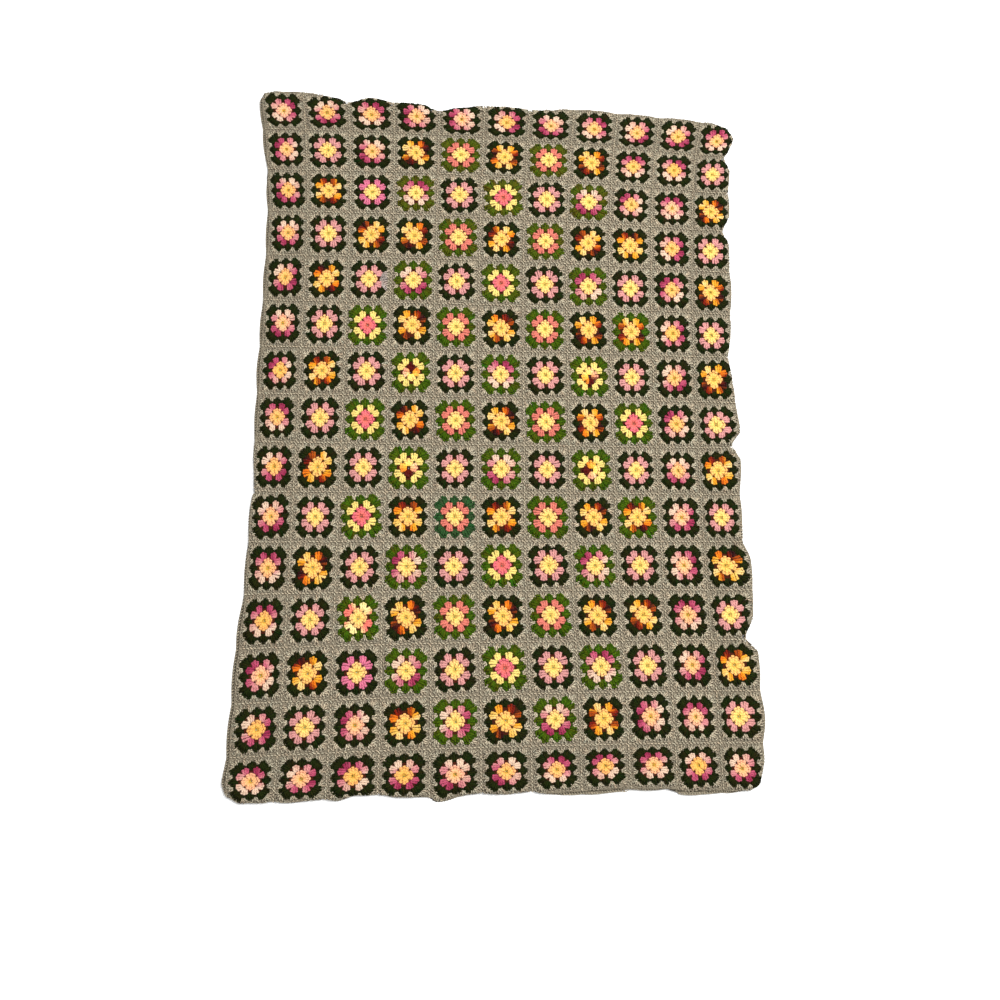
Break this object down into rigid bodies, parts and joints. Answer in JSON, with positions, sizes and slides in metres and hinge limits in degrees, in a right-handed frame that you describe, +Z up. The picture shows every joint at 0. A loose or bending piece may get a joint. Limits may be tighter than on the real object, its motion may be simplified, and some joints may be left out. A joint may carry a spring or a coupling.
{
  "type": "granny square blanket",
  "caption": "Crocheted patchwork blanket of joined flower squares with a grey marl ground and a narrow edging round, lying flat.",
  "frame": {"origin": "centre of the flat underside's bounding box, on the surface the blanket lies on", "axes": "+X across the blanket, +Y along its length to the head end, +Z up from the surface"},
  "size_m": [1.2784, 1.8004, 0.0104],
  "materials": {
    "squares_yarn": "crocheted worsted yarn, matt and slightly fuzzy, several colours a square",
    "marl_yarn": "grey marl worsted yarn, two shades twisted together",
    "dark_green_yarn": "dark bottle green worsted yarn, matt",
    "leaf_green_yarn": "leaf green worsted yarn, slightly thicker",
    "petal_yarn": "plain and space-dyed worsted yarns in pinks, coral, yellow, orange and brown",
    "centre_yarn": "warm yellow worsted yarn"
  },
  "bodies": {
    "root": {"blanket": "squares_yarn", "edging": "marl_yarn"}
  },
  "joints": []
}
